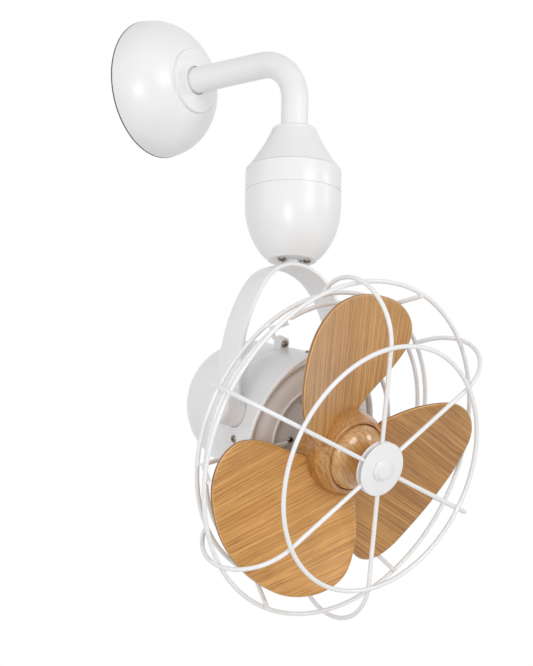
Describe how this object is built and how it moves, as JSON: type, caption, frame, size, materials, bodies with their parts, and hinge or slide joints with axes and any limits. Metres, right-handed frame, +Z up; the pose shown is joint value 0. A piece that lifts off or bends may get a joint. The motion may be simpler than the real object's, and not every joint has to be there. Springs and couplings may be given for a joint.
{
  "type": "wall and ceiling fan",
  "caption": "Fan on a bent wall arm, with an egg-shaped swivel housing, a strip yoke, a domed motor, wooden blades on a wooden hub and a curled wire guard.",
  "frame": {"origin": "centre of the wall bracket's back face, in the wall plane, on the arm's axis", "axes": "+Z up, +Y into the wall, so the arm leaves the wall along -Y; +X to the right when one looks at the wall"},
  "size_m": [0.3535, 0.3712, 0.6534],
  "materials": {
    "white_paint": "satin white powder coat",
    "white_wire": "satin white powder coat on wire",
    "taupe_paint": "satin taupe paint",
    "rubber": "dark, matt",
    "zinc_steel": "zinc plated",
    "nickel_screw": "nickel plated",
    "cast_frame": "as cast",
    "black_plastic": "moulded, matt",
    "bronze": "sintered",
    "gear_plastic": "moulded, cream",
    "copper": "enamelled wire",
    "dark_metal": "dark, satin",
    "hub_wood": "glossy brown varnish",
    "oak": "oak veneer, satin varnish"
  },
  "bodies": {
    "arm": {"canopy_gasket": "rubber", "wall_bracket": "zinc_steel", "terminal_block": "black_plastic", "canopy": "white_paint", "canopy_collar": "white_paint", "grub_screws": "zinc_steel", "arm_pipe": "white_paint", "pipe_lock_nuts": "zinc_steel", "housing_cap": "white_paint", "housing_band": "white_paint", "housing_shell": "white_paint", "inner_frame": "cast_frame", "gearmotor": "zinc_steel", "lower_bush": "bronze", "upper_bush": "bronze", "bottom_screws": "nickel_screw"},
    "pinion": {"drive_pinion": "gear_plastic"},
    "yoke": {"swivel_shaft": "white_paint", "output_gear": "gear_plastic", "thrust_washer": "bronze", "retaining_ring": "zinc_steel", "yoke_arch": "white_paint", "pivot_bosses": "white_paint", "pivot_caps": "white_paint", "friction_washers": "rubber"},
    "head": {"motor_rear_shell": "white_paint", "motor_front_shell": "white_paint", "casing_screws": "nickel_screw", "radial_screws": "nickel_screw", "motor_face": "white_paint", "bearing_cover": "taupe_paint", "face_screws": "nickel_screw", "motor_bearings": "zinc_steel", "stator_core": "zinc_steel", "stator_windings": "copper", "pivot_bolts": "zinc_steel", "large_ring": "white_wire", "front_ring": "white_wire", "rear_ring": "white_wire", "inner_rear_ring": "white_wire", "face_ring": "white_wire", "long_rods": "white_wire", "short_rods": "white_wire", "spoke_1": "white_wire", "spoke_2": "white_wire", "spoke_3": "white_wire", "spoke_4": "white_wire", "spoke_5": "white_wire", "spoke_6": "white_wire", "guard_discs": "white_paint", "front_knob": "white_paint"},
    "rotor": {"motor_shaft": "zinc_steel", "rotor_core": "zinc_steel", "shaft_collar": "dark_metal", "hub_ring": "hub_wood", "hub_cap": "hub_wood", "hub_screws": "nickel_screw", "blade_1": "oak", "blade_2": "oak", "blade_3": "oak"}
  },
  "joints": [
    {"name": "swivel", "type": "hinge", "parent": "arm", "child": "yoke", "pos_m": [0, -0.187, -0.222], "axis": [0, 0, 1], "range_deg": [-38, 52]},
    {"name": "pinion_spin", "type": "hinge", "parent": "arm", "child": "pinion", "pos_m": [0.032, -0.187, -0.17], "axis": [0, 0, 1], "range_deg": [-160, 120]},
    {"name": "tilt", "type": "hinge", "parent": "yoke", "child": "head", "pos_m": [0, -0.187, -0.386], "axis": [0.9925, -0.1219, 0], "range_deg": [-26, 64]},
    {"name": "rotor_spin", "type": "hinge", "parent": "head", "child": "rotor", "pos_m": [0, -0.187, -0.386], "axis": [-0.1095, -0.8921, -0.4384], "continuous": true}
  ],
  "couplings": [
    {"joint": "pinion_spin", "follows": "swivel", "ratio": -3}
  ]
}
